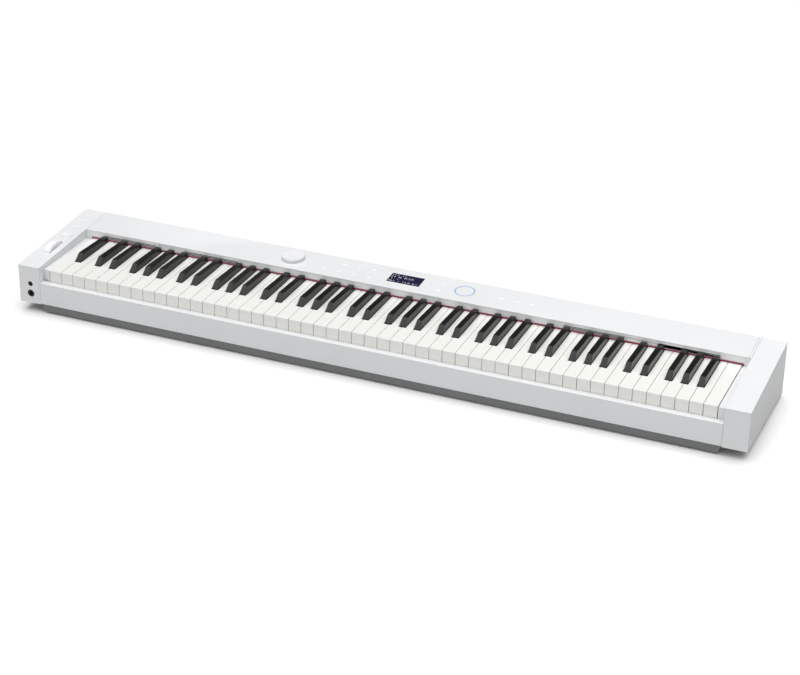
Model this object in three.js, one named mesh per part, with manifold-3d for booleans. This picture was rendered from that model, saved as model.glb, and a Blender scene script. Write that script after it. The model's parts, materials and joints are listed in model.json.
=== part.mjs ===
// A slim 88-key digital piano: white casing, hinged keys, volume knob, pitch wheel and three push buttons.
// Millimetres. X runs along the keyboard to the player's right, Y away from the player, Z up.
// Shapes are built with Y measured from the front face and Z from the floor; the finished group is then
// moved so that the origin lies at the middle of the footprint.

import * as THREE from 'three';
import { mergeVertices } from 'three/addons/utils/BufferGeometryUtils.js';
import Module from 'manifold-3d';

const wasm = await Module();
wasm.setup();

// ---- Driving dimensions ----

const LENGTH = 1336;
const DEPTH = 242;
const HEIGHT = 102;
const HALF = LENGTH / 2;
const GAP = 0.3;                    // between pieces that touch
const WALL = 3;                     // casing walls
const FRONT_TOP_Z = 88.7;           // top of the casing at the front; it rises to HEIGHT at the rear
const END_BASE_FRONT_Z = 17.2;      // lower edge of the end blocks at the front
const END_BASE_REAR_Z = 3.3;        // and at the rear
const BAY_HALF = 625;               // half the width between the end blocks
const TOP_TILT = Math.atan2(HEIGHT - FRONT_TOP_Z, DEPTH);
const LID_EDGE = 4.2;               // the lid's edge slopes in below its rim, over this height
const LID_PROUD = 0.6;              // and its rim stands this far outside the walls
const RIM_CHAMFER = 0.6;

const SLIP_TOP_Z = 60;
const SLIP_BASE_Z = 18.8;
const SLIP_REAR_Y = 12.8;
const SLIP_CHAMFER = 0.8;
const SLIP_LIP_Z = 50;              // lower edge of the slip's rear lip
const SLIP_LIP_THICK = 2;

const TRAY_HALF = 624;              // at the slip's lower edge
const TRAY_BASE_HALF = 619.4;       // and at the floor, as the ends lean in
const TRAY_FRONT = { topY: 2.3, baseY: 4.2, rearY: 11, stepY: 8 };
const TRAY_WALL_TOP_Z = 40;
const TRAY_REAR_TOP_Z = 12;
const FLOOR_Z = 3;
const FLOOR_THICK = 2.5;
const FOOT_RADIUS = 11;
const FOOT_X = 560;
const FOOT_YS = [30, 212];

const PANEL_FRONT_Y = 167.5;
const PANEL_HALF = 620.3;
const PANEL_THICK = 2.5;
const FALLBOARD_Y = 167.8;
const FALLBOARD_BASE_Z = 84.6;
const FALLBOARD_TOP_Z = 95;
const FALLBOARD_THICK = 2.5;
const FALLBOARD_TAB_Z = 79;         // its two ends reach down behind the cheeks
const FALLBOARD_FLANGE = { rearY: 181, thick: 2 };
const CLOTH_THICK = 0.8;
const CLOTH_ZS = [82.6, 92.7];
const FELT_HALF = 613;
const FELT_YS = [165.8, 170];
const CHEEK_TOP_Z = 80.6;
const CHEEK_RECESS_Y = 16.5;        // the left cheek's front is set back, but for a strip beside the key
const CHEEK_STRIP = 3.2;

const WHITE_PITCH = 23.5;
const WHITE_COUNT = 52;
const KEYS_HALF = WHITE_PITCH * WHITE_COUNT / 2;
const KEY_GAP = 0.9;                // between neighbouring white keys
const KEY_FRONT_Y = 13.6;
const KEY_TOP_Z = 82;
const KEY_BODY_Z = 69;              // underside of a white key
const KEY_LIP_Z = 56;               // lower edge of the lip at a white key's front
const KEY_LIP_THICK = 4;
const KEY_ROOT_Y = 206;             // from here to the rear a key is deep enough to hold its notch
const WHITE_ROOT_Z = 60;
const BLACK_ROOT_Z = 63.5;
const KEY_REAR_Y = 226;
const CUT_OUT_Y = 64;               // where a white key narrows beside a black key
const CUT_OUT_HALF = 6.9;
const BLACK_FRONT_Y = 66;
const BLACK_CAP_REAR_Y = 164.8;
const BLACK_BASE_HALF = 6;
const BLACK_TOP_HALF = 4.75;
const BLACK_TOP_Z = 94.4;
const BLACK_CAP_REAR_Z = 91;
const BLACK_BODY_HALF = 5.6;
const BLACK_BODY_ZS = [72, 80.8];
const BLACK_SLOPE = [[76.6, 93], [79.5, BLACK_TOP_Z]];
const PIVOT_Y = 213;
const PIVOT_Z = 66;
const PIVOT_RADIUS = 3;
const NOTCH_RADIUS = 3.35;
const COMB_BAR_Y = 217;             // front of the bars that join the keys of a comb
const BLACK_OFFSET = { C: -2.6, D: 2.6, F: -3, G: 0.5, A: 4 };
const FIRST_HINGED = 'F3';          // the keys from here to LAST_HINGED are pieces of their own
const LAST_HINGED = 'C5';

const KEYBED_Z = 46;
const KEYBED_THICK = 3;
const KEYBED_YS = [22, 230];
const KEYBED_RIB_Y = 110;

const CONTROL_X = -644.5;           // the column of controls on the left end block
const WHEEL_Y = 82;
const WHEEL_RADIUS = 28;
const WHEEL_WIDTH = 12;
const WHEEL_PROUD = 10;
const WHEEL_SLOT = [14, 51];
const AXLE_RADIUS = 3;
const POWER_BUTTON_Y = 192;
const ROUND_BUTTON_Y = 166;
const WIDE_BUTTON_Y = 133.5;
const BUTTON_RADIUS = 6.5;
const WIDE_BUTTON = [17, 13];
const BUTTON_PROUD = 0.7;

const DECK_Y = 205;                 // the row of controls on the top panel
const KNOB_X = -221.5;
const KNOB_RADIUS = 20.5;
const KNOB_HEIGHT = 6.8;
const STEM_RADIUS = 3;
const DISPLAY_X = -4;
const DISPLAY = [61, 31.3];
const RING_X = 107.3;
const RING_RADIUS = 17.8;
const RING_WIDTH = 1.1;

const JACK = { small: { z: 54.6, bush: 4.8, hole: 1.8 }, large: { z: 36, bush: 6.9, hole: 3.2 } };
const JACK_DEPTH = { small: 18, large: 30 };
const INLET = { bush: 5, hole: 3, depth: 11, pin: 1 };
const USB = { wide: 15, high: 8, depth: 15, shell: 1.2, tongue: 9 };
const REAR_JACK_ZS = { pedal_jack: 28, line_out_jack: 54 };  // in the rear of the left end block
const SOCKET_Z = 28;                // of the two sockets in the rear panel
const INLET_X = -150;
const USB_X = -110;

const GRILLE_WIDTH = 107;
const GRILLE_XS = { left: [-534, -368.5], right: [354.5, 520] };
const GRILLE_SLOT_ZS = [86.2, 88.4, 90.6];
const GRILLE_SLOT = 1.3;
const SPEAKER_Y = 172;
const SPEAKER_OVAL = 2.4;           // a speaker's length over its depth
const BOARD = { xs: [-240, 250], ys: [176, 234], zs: [90, 91.6] };
const BOARD_BLOCKS = [
  { xs: [-60, -20], ys: [185, 215], height: 2.4 },
  { xs: [10, 50], ys: [190, 220], height: 2.4 },
  { xs: [150, 190], ys: [185, 225], height: 3.4 },
];

// ---- Materials ----

function look(color, roughness, metalness = 0) {
  return new THREE.MeshStandardMaterial({ color, roughness, metalness });
}

const LOOKS = {
  casing: look(0xeceef0, 0.35),
  panel: look(0xedeff1, 0.12),
  base: look(0x6a6c6d, 0.6),
  fallboard: look(0xc9ccce, 0.4),
  whiteKey: look(0xf6f5ef, 0.3),
  blackKey: look(0x262626, 0.5),
  felt: look(0x7a0f2e, 0.95),
  cloth: look(0x1c1d1f, 0.9),
  frame: look(0xb9bcbe, 0.55),
  steel: look(0xa9adb0, 0.35, 1),
  board: look(0x1f5a3a, 0.6),
  display: look(0x26244a, 0.08),
  ring: look(0x6aa8e8, 0.3),
  socket: look(0x17181a, 0.5),
  rubber: look(0x3a3b3c, 0.85),
  control: look(0xf0f1f4, 0.3),
};

// ---- Shape helpers ----

const piano = new THREE.Group();

function solid(geometry) {
  geometry.deleteAttribute('normal');
  geometry.deleteAttribute('uv');
  const merged = mergeVertices(geometry);
  return new wasm.Manifold(new wasm.Mesh({
    numProp: 3,
    vertProperties: merged.attributes.position.array,
    triVerts: new Uint32Array(merged.index.array),
  }));
}

function addPart(name, shape, material, parent = piano) {
  const { vertProperties, triVerts } = shape.getMesh();
  const geometry = new THREE.BufferGeometry();
  geometry.setAttribute('position', new THREE.BufferAttribute(vertProperties, 3));
  geometry.setIndex(new THREE.BufferAttribute(triVerts, 1));
  geometry.computeVertexNormals();
  const mesh = new THREE.Mesh(geometry, material);
  mesh.name = name;
  parent.add(mesh);
}

function extrude(points, depth) {
  const shape = new THREE.Shape(points.map(([a, b]) => new THREE.Vector2(a, b)));
  return new THREE.ExtrudeGeometry(shape, { depth, bevelEnabled: false });
}

// A side profile of [y, z] points, swept from x0 to x1.
function alongX(points, x0, x1) {
  const geometry = extrude(points, x1 - x0);
  const yzx = new THREE.Matrix4().makeBasis(
    new THREE.Vector3(0, 1, 0), new THREE.Vector3(0, 0, 1), new THREE.Vector3(1, 0, 0));
  return solid(geometry.applyMatrix4(yzx).translate(x0, 0, 0));
}

// A front profile of [x, z] points, swept from y0 to y1.
function alongY(points, y0, y1) {
  return solid(extrude(points, y1 - y0).rotateX(Math.PI / 2).translate(0, y1, 0));
}

// A plan of [x, y] points, swept from z0 to z1.
function alongZ(points, z0, z1) {
  return solid(extrude(points, z1 - z0).translate(0, 0, z0));
}

function box(x0, x1, y0, y1, z0, z1) {
  const geometry = new THREE.BoxGeometry(x1 - x0, y1 - y0, z1 - z0);
  return solid(geometry.translate((x0 + x1) / 2, (y0 + y1) / 2, (z0 + z1) / 2));
}

// A round bar standing on the origin's Z axis.
function roundZ(radius, z0, z1, sides = 32, topRadius = radius) {
  const geometry = new THREE.CylinderGeometry(topRadius, radius, z1 - z0, sides);
  return solid(geometry.rotateX(Math.PI / 2).translate(0, 0, (z0 + z1) / 2));
}

// A round bar along Y at (x, z).
function roundY(radius, x, z, y0, y1, sides = 24) {
  return solid(new THREE.CylinderGeometry(radius, radius, y1 - y0, sides).translate(x, (y0 + y1) / 2, z));
}

// A round bar along X at (y, z).
function roundX(radius, y, z, x0, x1, sides = 24) {
  const geometry = new THREE.CylinderGeometry(radius, radius, x1 - x0, sides).rotateZ(Math.PI / 2);
  return solid(geometry.translate((x0 + x1) / 2, y, z));
}

function union(shapes) {
  return shapes.reduce((whole, shape) => whole.add(shape));
}

function topZ(y) {
  return FRONT_TOP_Z + (HEIGHT - FRONT_TOP_Z) * y / DEPTH;
}

function endBaseZ(y) {
  return END_BASE_FRONT_Z + (END_BASE_REAR_Z - END_BASE_FRONT_Z) * y / DEPTH;
}

// A frame on the sloping top of the casing: its origin is on the surface and its Z axis is square to it.
function deckFrame(x, y) {
  const frame = new THREE.Group();
  frame.position.set(x, y, topZ(y));
  frame.rotation.x = TOP_TILT;
  frame.updateMatrix();
  return frame;
}

function onDeck(shape, x, y) {
  return shape.transform(deckFrame(x, y).matrix.elements);
}

function addDeckPart(name, shape, material, x, y) {
  const frame = deckFrame(x, y);
  piano.add(frame);
  addPart(name, shape, material, frame);
}

// ---- Casing ----

// A front profile of [x, z] points at Y 0, swept to the rear along the slope of the casing's top.
function alongSlope(points) {
  const rise = (HEIGHT - FRONT_TOP_Z) / DEPTH;
  const lean = new THREE.Matrix4().set(1, 0, 0, 0, 0, 1, 0, 0, 0, rise, 1, 0, 0, 0, 0, 1);
  return alongY(points, 0, DEPTH).transform(lean.elements);
}

// One end block: a hollow shell, open below. Its lid stands a little outside the walls in front and at the
// side, and runs inwards beside the top panel.
function endBlock(side) {
  const across = (a, b) => (side < 0 ? [-b, -a] : [a, b]);
  const shell = LID_PROUD + WALL;
  const inner = HALF - shell;
  const outline = [
    [LID_PROUD, END_BASE_FRONT_Z], [DEPTH, END_BASE_REAR_Z],
    [DEPTH, HEIGHT - 1], [DEPTH - 1, topZ(DEPTH - 1)],
    [RIM_CHAMFER, topZ(RIM_CHAMFER)], [0, FRONT_TOP_Z - RIM_CHAMFER], [LID_PROUD, FRONT_TOP_Z - LID_EDGE],
  ];
  const sideOutline = [
    [BAY_HALF - 30, -20], [HALF - LID_PROUD, -20], [HALF - LID_PROUD, FRONT_TOP_Z - LID_EDGE],
    [HALF, FRONT_TOP_Z - RIM_CHAMFER], [HALF - RIM_CHAMFER, FRONT_TOP_Z], [BAY_HALF - 30, FRONT_TOP_Z],
  ];
  const hollow = [
    [shell, -5], [DEPTH - WALL, -5], [DEPTH - WALL, topZ(DEPTH - WALL) - WALL], [shell, topZ(shell) - WALL],
  ];
  const baseRoom = [
    [shell, -5], [DEPTH - WALL, -5],
    [DEPTH - WALL, endBaseZ(DEPTH - WALL) + WALL + GAP], [shell, endBaseZ(shell) + WALL + GAP],
  ];
  const lip = [
    [PANEL_FRONT_Y, topZ(PANEL_FRONT_Y) - PANEL_THICK], [DEPTH, HEIGHT - PANEL_THICK], [DEPTH, HEIGHT - 1],
    [DEPTH - 1, topZ(DEPTH - 1)], [PANEL_FRONT_Y, topZ(PANEL_FRONT_Y)],
  ];
  return alongX(outline, ...across(BAY_HALF, HALF))
    .intersect(alongSlope(sideOutline.map(([x, z]) => [side * x, z])))
    .subtract(alongX(hollow, ...across(BAY_HALF + WALL, inner)))
    .subtract(alongX(baseRoom, ...across(BAY_HALF - 1, inner)))
    .add(alongX(lip, ...across(PANEL_HALF + GAP, BAY_HALF + 0.5)));
}

function leftEndBlock() {
  const [slotWidth, slotLength] = WHEEL_SLOT;
  const [wide, deep] = WIDE_BUTTON;
  const room = 0.4;
  const cut = 6;
  const wheelSlot = box(-slotWidth / 2, slotWidth / 2, -slotLength / 2, slotLength / 2, -cut, cut);
  const wideRoom = box(-wide / 2 - room, wide / 2 + room, -deep / 2 - room, deep / 2 + room, -cut, cut);
  const rearHoles = Object.values(REAR_JACK_ZS).map((z) => (
    roundY(JACK.large.bush + GAP, CONTROL_X, z, DEPTH - WALL - 1, DEPTH + 1)));
  return endBlock(-1)
    .subtract(union(rearHoles))
    .subtract(onDeck(wheelSlot, CONTROL_X, WHEEL_Y))
    .subtract(onDeck(roundZ(BUTTON_RADIUS + room, -cut, cut), CONTROL_X, POWER_BUTTON_Y))
    .subtract(onDeck(roundZ(BUTTON_RADIUS + room, -cut, cut), CONTROL_X, ROUND_BUTTON_Y))
    .subtract(onDeck(wideRoom, CONTROL_X, WIDE_BUTTON_Y))
    .subtract(roundY(JACK.small.bush + GAP, CONTROL_X, JACK.small.z, -1, WALL + 2))
    .subtract(roundY(JACK.large.bush + GAP, CONTROL_X, JACK.large.z, -1, WALL + 2));
}

addPart('left_end_block', leftEndBlock(), LOOKS.casing);
addPart('right_end_block', endBlock(1), LOOKS.casing);

// The white rail in front of the keys: a channel, open below and behind.
const slipHalf = BAY_HALF - GAP;
const slipFrontY = LID_PROUD;
const slipLipY = SLIP_REAR_Y - SLIP_LIP_THICK;
addPart('key_slip', alongX([
  [slipFrontY, SLIP_BASE_Z], [slipFrontY + WALL, SLIP_BASE_Z], [slipFrontY + WALL, SLIP_TOP_Z - WALL],
  [slipLipY, SLIP_TOP_Z - WALL], [slipLipY, SLIP_LIP_Z], [SLIP_REAR_Y, SLIP_LIP_Z], [SLIP_REAR_Y, SLIP_TOP_Z],
  [slipFrontY + SLIP_CHAMFER, SLIP_TOP_Z], [slipFrontY, SLIP_TOP_Z - SLIP_CHAMFER],
], -slipHalf, slipHalf), LOOKS.casing);

// The dark base: a tray between the end blocks, with a sloping wing that closes each block from below.
function bottomCase() {
  const { topY, baseY, rearY: innerY, stepY } = TRAY_FRONT;
  const front = [
    [baseY, FLOOR_Z], [innerY, FLOOR_Z], [innerY, TRAY_WALL_TOP_Z], [stepY, TRAY_WALL_TOP_Z],
    [stepY, SLIP_BASE_Z - GAP], [topY, SLIP_BASE_Z - GAP],
  ];
  const rearY = DEPTH - WALL - GAP;
  const wingFront = LID_PROUD + WALL + GAP;
  const wing = [
    [wingFront, endBaseZ(wingFront)], [rearY, endBaseZ(rearY)],
    [rearY, endBaseZ(rearY) + WALL], [wingFront, endBaseZ(wingFront) + WALL],
  ];
  const endWall = TRAY_BASE_HALF - WALL;
  const wingEnd = HALF - LID_PROUD - WALL - GAP;
  const frontProfile = [
    [-TRAY_BASE_HALF, FLOOR_Z], [TRAY_BASE_HALF, FLOOR_Z],
    [TRAY_HALF, SLIP_BASE_Z], [TRAY_HALF, TRAY_WALL_TOP_Z],
    [-TRAY_HALF, TRAY_WALL_TOP_Z], [-TRAY_HALF, SLIP_BASE_Z],
  ];
  const tray = union([
    box(-TRAY_HALF, TRAY_HALF, baseY, rearY, FLOOR_Z, FLOOR_Z + FLOOR_THICK),
    alongX(front, -TRAY_HALF, TRAY_HALF),
    box(-TRAY_HALF, TRAY_HALF, rearY - WALL, rearY, FLOOR_Z, TRAY_REAR_TOP_Z),
    box(-TRAY_HALF, -endWall, baseY, rearY, FLOOR_Z, TRAY_WALL_TOP_Z),
    box(endWall, TRAY_HALF, baseY, rearY, FLOOR_Z, TRAY_WALL_TOP_Z),
  ]);
  return union([
    tray.intersect(alongY(frontProfile, 0, DEPTH)),
    alongX(wing, -wingEnd, -endWall),
    alongX(wing, endWall, wingEnd),
  ]);
}

addPart('bottom_case', bottomCase(), LOOKS.base);

for (const [xName, x] of [['left', -FOOT_X], ['right', FOOT_X]]) {
  for (const [yName, y] of [['front', FOOT_YS[0]], ['rear', FOOT_YS[1]]]) {
    const foot = roundZ(FOOT_RADIUS - 1.5, 0, FLOOR_Z - GAP, 24, FOOT_RADIUS);
    addPart(`foot_${yName}_${xName}`, foot.translate([x, y, 0]), LOOKS.rubber);
  }
}

function topPanel() {
  const [wide, deep] = DISPLAY;
  const room = GAP;
  const plate = alongX([
    [PANEL_FRONT_Y, topZ(PANEL_FRONT_Y) - PANEL_THICK], [DEPTH, HEIGHT - PANEL_THICK],
    [DEPTH, HEIGHT - 0.8], [DEPTH - 0.8, topZ(DEPTH - 0.8)],
    [PANEL_FRONT_Y + 0.6, topZ(PANEL_FRONT_Y + 0.6)], [PANEL_FRONT_Y, topZ(PANEL_FRONT_Y) - 0.6],
  ], -PANEL_HALF, PANEL_HALF);
  const ringRoom = roundZ(RING_RADIUS + room, -1.2, 1, 48)
    .subtract(roundZ(RING_RADIUS - RING_WIDTH - room, -2, 2, 48));
  return plate
    .subtract(onDeck(roundZ(STEM_RADIUS + 1.2, -5, 5, 20), KNOB_X, DECK_Y))
    .subtract(onDeck(
      box(-wide / 2 - room, wide / 2 + room, -deep / 2 - room, deep / 2 + room, -5, 5), DISPLAY_X, DECK_Y))
    .subtract(onDeck(ringRoom, RING_X, DECK_Y));
}

addPart('top_panel', topPanel(), LOOKS.panel);

// The upright face behind the keys, with four groups of long slots for the sound and a flange to the rear.
function fallboard() {
  const rearY = FALLBOARD_Y + FALLBOARD_THICK;
  const flangeZ = FALLBOARD_TOP_Z - FALLBOARD_FLANGE.thick;
  const rail = alongX([
    [FALLBOARD_Y, FALLBOARD_BASE_Z], [rearY, FALLBOARD_BASE_Z], [rearY, flangeZ],
    [FALLBOARD_FLANGE.rearY, flangeZ], [FALLBOARD_FLANGE.rearY, FALLBOARD_TOP_Z],
    [FALLBOARD_Y, FALLBOARD_TOP_Z],
  ], -slipHalf, slipHalf);
  const tabInner = FELT_HALF + GAP;
  const tabTop = FALLBOARD_BASE_Z + 0.5;
  const leftTab = box(-slipHalf, -tabInner, FALLBOARD_Y, rearY, FALLBOARD_TAB_Z, tabTop);
  const rightTab = box(tabInner, slipHalf, FALLBOARD_Y, rearY, FALLBOARD_TAB_Z, tabTop);
  const slots = [];
  for (const centre of [...GRILLE_XS.left, ...GRILLE_XS.right]) {
    for (const z of GRILLE_SLOT_ZS) {
      slots.push(box(
        centre - GRILLE_WIDTH / 2, centre + GRILLE_WIDTH / 2,
        FALLBOARD_Y - 1, rearY + 1, z - GRILLE_SLOT / 2, z + GRILLE_SLOT / 2));
    }
  }
  return union([rail, leftTab, rightTab]).subtract(union(slots));
}

addPart('fallboard', fallboard(), LOOKS.fallboard);

for (const [side, [first, last]] of Object.entries(GRILLE_XS)) {
  const margin = GRILLE_WIDTH / 2 + 4;
  const front = FALLBOARD_Y + FALLBOARD_THICK + GAP;
  addPart(`speaker_cloth_${side}`,
    box(first - margin, last + margin, front, front + CLOTH_THICK, ...CLOTH_ZS), LOOKS.cloth);
}

addPart('key_felt_strip',
  box(-FELT_HALF, FELT_HALF, ...FELT_YS, KEY_TOP_Z + 0.5, FALLBOARD_BASE_Z - GAP), LOOKS.felt);

// The fixed block that fills the bay beside the last key at each end.
function cheek(side) {
  const inner = KEYS_HALF + 0.9;
  const outer = BAY_HALF - GAP;
  const feltY = FELT_YS[0] - GAP;
  const boardY = FALLBOARD_Y - GAP;
  const plan = [
    [inner, KEY_FRONT_Y], [outer, KEY_FRONT_Y], [outer, boardY],
    [FELT_HALF + GAP, boardY], [FELT_HALF + GAP, feltY], [inner, feltY],
  ];
  return alongZ(plan.map(([x, y]) => [side * x, y]), KEYBED_Z + KEYBED_THICK + GAP, CHEEK_TOP_Z);
}

const cheekRecess = box(
  -BAY_HALF, -KEYS_HALF - 0.9 - CHEEK_STRIP, 0, CHEEK_RECESS_Y, KEYBED_Z, KEY_TOP_Z);
addPart('left_key_cheek', cheek(-1).subtract(cheekRecess), LOOKS.casing);
addPart('right_key_cheek', cheek(1), LOOKS.casing);

// ---- Rear panel and its sockets ----

// A jack socket: a round bush that shows in the panel, and a square body behind it with a blind hole.
// It points to -Y; depth is the length of the hole.
function jackSocket({ bush, hole }, x, z, faceY, depth) {
  const half = bush + 1.2;
  const bodyY = faceY + WALL + GAP;
  return roundY(bush, x, z, faceY + 0.3, bodyY + 1)
    .add(box(x - half, x + half, bodyY, faceY + depth + 2, z - half, z + half))
    .subtract(roundY(hole, x, z, faceY - 1, faceY + depth, 20));
}

function turnToRear(shape) {
  return shape.rotate([0, 0, 180]).translate([0, DEPTH, 0]);
}

function rearPanel() {
  const y0 = DEPTH - WALL;
  return box(-slipHalf, slipHalf, y0, DEPTH, END_BASE_REAR_Z + 0.5, HEIGHT - PANEL_THICK - GAP - 0.2)
    .subtract(roundY(INLET.bush + GAP, INLET_X, SOCKET_Z, y0 - 1, DEPTH + 1))
    .subtract(box(
      USB_X - USB.wide / 2 - GAP, USB_X + USB.wide / 2 + GAP,
      y0 - 1, DEPTH + 1, SOCKET_Z - USB.high / 2 - GAP, SOCKET_Z + USB.high / 2 + GAP));
}

addPart('rear_panel', rearPanel(), LOOKS.casing);

for (const size of ['small', 'large']) {
  const jack = jackSocket(JACK[size], CONTROL_X, JACK[size].z, LID_PROUD, JACK_DEPTH[size]);
  addPart(`headphone_jack_${size}`, jack, LOOKS.socket);
}
for (const [name, z] of Object.entries(REAR_JACK_ZS)) {
  const jack = jackSocket(JACK.large, -CONTROL_X, z, 0, JACK_DEPTH.large);
  addPart(name, turnToRear(jack), LOOKS.socket);
}

const inletPin = roundY(INLET.pin, -INLET_X, SOCKET_Z, 1.5, INLET.depth + 1, 10);
const inlet = jackSocket(INLET, -INLET_X, SOCKET_Z, 0, INLET.depth).add(inletPin);
addPart('dc_inlet', turnToRear(inlet), LOOKS.socket);

function usbPort() {
  const { wide, high, depth, shell, tongue } = USB;
  return box(-wide / 2, wide / 2, 0.3, depth, -high / 2, high / 2)
    .subtract(box(-wide / 2 + shell, wide / 2 - shell, -1, depth - 2, -high / 2 + shell, high / 2 - shell))
    .add(box(-tongue / 2, tongue / 2, 1.5, depth - 1, -0.3, 1.5))
    .translate([-USB_X, 0, SOCKET_Z]);
}

addPart('usb_port', turnToRear(usbPort()), LOOKS.socket);

// ---- Works inside ----

const keybedTop = KEYBED_Z + KEYBED_THICK;
const legBase = FLOOR_Z + FLOOR_THICK + GAP;
const [bedFrontY, bedRearY] = KEYBED_YS;
addPart('keybed_frame', alongX([
  [bedFrontY, legBase], [bedFrontY + WALL, legBase], [bedFrontY + WALL, KEYBED_Z], [KEYBED_RIB_Y, KEYBED_Z],
  [KEYBED_RIB_Y, legBase], [KEYBED_RIB_Y + WALL, legBase], [KEYBED_RIB_Y + WALL, KEYBED_Z],
  [bedRearY, KEYBED_Z], [bedRearY, keybedTop], [bedFrontY, keybedTop],
], -616, 616), LOOKS.frame);

// The rail that every key rocks on: a foot, a thin neck and a round head on the keys' hinge line.
function pivotRail() {
  const neck = 1.3;
  const foot = keybedTop + GAP;
  const head = [];
  const steps = 16;
  const start = Math.asin(neck / PIVOT_RADIUS);
  for (let i = 0; i <= steps; i++) {
    const turn = -Math.PI / 2 + start + (2 * Math.PI - 2 * start) * i / steps;
    head.push([PIVOT_Y + PIVOT_RADIUS * Math.cos(turn), PIVOT_Z + PIVOT_RADIUS * Math.sin(turn)]);
  }
  return alongX([
    [PIVOT_Y + 6, foot], [PIVOT_Y + 6, foot + 2], [PIVOT_Y + neck, foot + 2], ...head,
    [PIVOT_Y - neck, foot + 2], [PIVOT_Y - 6, foot + 2], [PIVOT_Y - 6, foot],
  ], -609, 609);
}

addPart('key_pivot_rail', pivotRail(), LOOKS.steel);

// An oval loudspeaker that faces up: magnet, tapering basket and flat rim.
function speaker(x) {
  const oval = (shape) => shape.scale([SPEAKER_OVAL, 1, 1]);
  const magnet = roundZ(22, 8, 20, 24);
  const basket = oval(roundZ(17, 19, 40.5, 24, 28));
  const rim = oval(roundZ(31, 40, 42.5, 24));
  const cone = oval(roundZ(8, 24, 43, 24, 26));
  return union([magnet, basket, rim]).subtract(cone).translate([x, SPEAKER_Y, 0]);
}

addPart('speaker_left', speaker((GRILLE_XS.left[0] + GRILLE_XS.left[1]) / 2), LOOKS.cloth);
addPart('speaker_right', speaker((GRILLE_XS.right[0] + GRILLE_XS.right[1]) / 2), LOOKS.cloth);

const boardBlocks = BOARD_BLOCKS.map(({ xs, ys, height }) => (
  box(...xs, ...ys, BOARD.zs[1] - 0.6, BOARD.zs[1] + height)));
addPart('main_board', union([box(...BOARD.xs, ...BOARD.ys, ...BOARD.zs), ...boardBlocks]), LOOKS.board);

// ---- Controls ----

const stemEnd = -6.3;
addDeckPart('volume_knob', union([
  roundZ(KNOB_RADIUS, 0.6, KNOB_HEIGHT - 0.9, 40),
  roundZ(KNOB_RADIUS, KNOB_HEIGHT - 0.9, KNOB_HEIGHT, 40, KNOB_RADIUS - 1.2),
  roundZ(STEM_RADIUS, stemEnd, 1, 16),
]), LOOKS.control, KNOB_X, DECK_Y);

addDeckPart('knob_encoder', box(-6, 6, -6, 6, stemEnd - 1.4, -PANEL_THICK - GAP)
  .subtract(roundZ(STEM_RADIUS + 0.4, stemEnd - 0.4, 0, 16)), LOOKS.socket, KNOB_X, DECK_Y);

const [displayWide, displayDeep] = DISPLAY;
addDeckPart('display_window',
  box(-displayWide / 2, displayWide / 2, -displayDeep / 2, displayDeep / 2, -2.3, -0.05),
  LOOKS.display, DISPLAY_X, DECK_Y);

addDeckPart('touch_ring',
  roundZ(RING_RADIUS, -0.9, -0.05, 48).subtract(roundZ(RING_RADIUS - RING_WIDTH, -2, 2, 48)),
  LOOKS.ring, RING_X, DECK_Y);

// A push button: a cap in the casing's top, and a flange under the casing that keeps it in.
function roundButton() {
  return roundZ(BUTTON_RADIUS, -4.5, BUTTON_PROUD, 28)
    .add(roundZ(BUTTON_RADIUS + 1.2, -4.5, -WALL - GAP, 28));
}

function wideButton() {
  const [wide, deep] = WIDE_BUTTON;
  return box(-wide / 2, wide / 2, -deep / 2, deep / 2, -4.5, BUTTON_PROUD)
    .add(box(-wide / 2 - 1, wide / 2 + 1, -deep / 2 - 1, deep / 2 + 1, -4.5, -WALL - GAP));
}

addDeckPart('power_button', roundButton(), LOOKS.control, CONTROL_X, POWER_BUTTON_Y);
addDeckPart('control_button_1', roundButton(), LOOKS.control, CONTROL_X, ROUND_BUTTON_Y);
addDeckPart('control_button_2', wideButton(), LOOKS.control, CONTROL_X, WIDE_BUTTON_Y);

// The pitch wheel stands proud of its slot, with a thumb groove at the top of its rim.
const wheelZ = topZ(WHEEL_Y) + WHEEL_PROUD - WHEEL_RADIUS;

function pitchWheel() {
  const halfWidth = WHEEL_WIDTH / 2;
  const bevel = 1.2;
  const rim = [
    [AXLE_RADIUS + GAP, -halfWidth], [WHEEL_RADIUS - bevel, -halfWidth], [WHEEL_RADIUS, -halfWidth + bevel],
    [WHEEL_RADIUS, halfWidth - bevel], [WHEEL_RADIUS - bevel, halfWidth], [AXLE_RADIUS + GAP, halfWidth],
    [AXLE_RADIUS + GAP, -halfWidth],
  ].map(([r, h]) => new THREE.Vector2(r, h));
  return solid(new THREE.LatheGeometry(rim, 40).rotateZ(Math.PI / 2))
    .subtract(roundX(5, 0, WHEEL_RADIUS + 2.8, -10, 10, 20))
    .translate([CONTROL_X, WHEEL_Y, wheelZ]);
}

addPart('pitch_wheel', pitchWheel(), LOOKS.control);
addPart('wheel_axle', roundX(
  AXLE_RADIUS, WHEEL_Y, wheelZ, -HALF + LID_PROUD + WALL + GAP, -BAY_HALF - WALL - GAP, 20), LOOKS.steel);

// ---- Keyboard ----

// The round-topped notch that fits over the pivot rail, as points from its rear edge to its front edge.
function notch(baseZ) {
  const points = [[PIVOT_Y + NOTCH_RADIUS, baseZ]];
  const steps = 8;
  for (let i = 0; i <= steps; i++) {
    const turn = Math.PI * i / steps;
    points.push([PIVOT_Y + NOTCH_RADIUS * Math.cos(turn), PIVOT_Z + NOTCH_RADIUS * Math.sin(turn)]);
  }
  points.push([PIVOT_Y - NOTCH_RADIUS, baseZ]);
  return points;
}

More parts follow.
